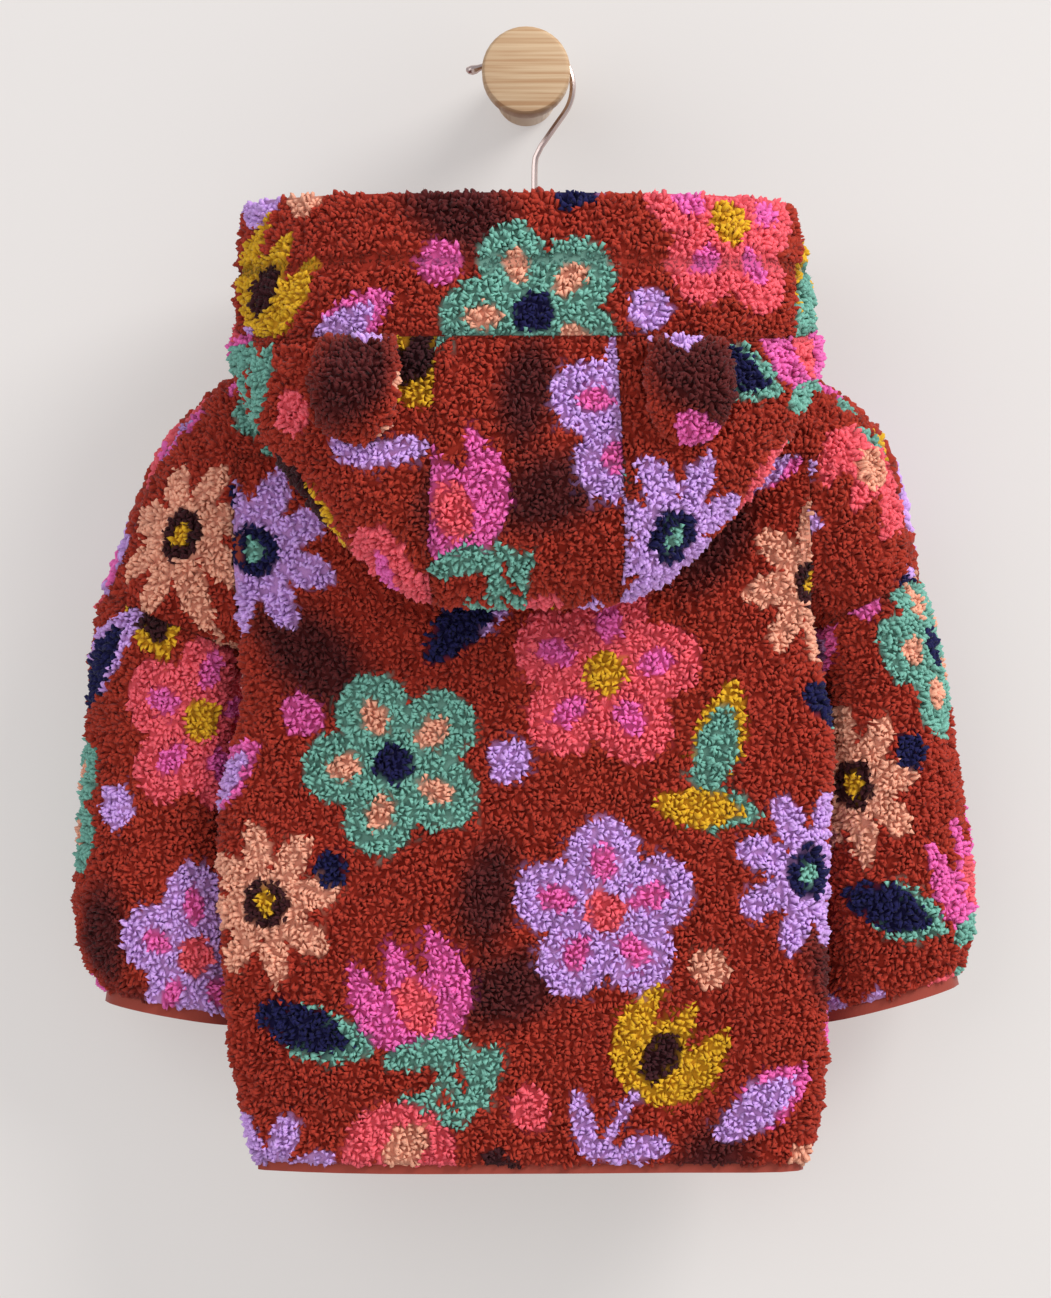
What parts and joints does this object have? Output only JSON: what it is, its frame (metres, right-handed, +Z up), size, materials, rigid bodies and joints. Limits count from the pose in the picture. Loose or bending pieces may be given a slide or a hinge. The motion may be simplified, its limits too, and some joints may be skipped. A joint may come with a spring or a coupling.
{
  "type": "fleece jacket on hanger and wall peg",
  "caption": "Child's hooded curly-fleece jacket with bear ears, all-over flower print and zip, hanging on a wire-hook hanger from a round wooden wall peg.",
  "frame": {"origin": "on the wall at the peg's axis, where the peg is fixed to the wall; the wall is the plane y = 0", "axes": "+Z up, +Y into the wall, +X to the right for someone who faces the wall and sees the jacket's back"},
  "size_m": [0.4876, 0.1948, 0.6096],
  "materials": {
    "fleece": "matt curly pile",
    "jersey_binding": "matt smooth knit",
    "zip_tape": "matt woven tape",
    "zip_metal": "brushed nickel",
    "wood": "clear matt lacquer",
    "hook_wire": "satin plated"
  },
  "bodies": {
    "jacket": {"back": "fleece", "yoke_back": "fleece", "front_left": "fleece", "front_right": "fleece", "yoke_front_left": "fleece", "yoke_front_right": "fleece", "sleeve_left": "fleece", "sleeve_right": "fleece", "hood_middle": "fleece", "hood_side_left": "fleece", "hood_side_right": "fleece", "hood_band": "fleece", "ear_left": "fleece", "ear_right": "fleece", "cuff_binding_left": "jersey_binding", "cuff_binding_right": "jersey_binding", "hem_binding": "jersey_binding", "zip_tape_left": "zip_tape", "zip_tape_right": "zip_tape", "zip_chain": "zip_metal", "zip_slider": "zip_metal", "hanger_bar": "wood", "hanger_hook": "hook_wire", "wall_peg": "wood"},
    "pull_tab": {"zip_pull": "zip_metal"}
  },
  "joints": [
    {"name": "pull_tab_swing", "type": "hinge", "parent": "jacket", "child": "pull_tab", "pos_m": [0, -0.0152, -0.1576], "axis": [1, 0, 0], "range_deg": [0, 150]}
  ]
}
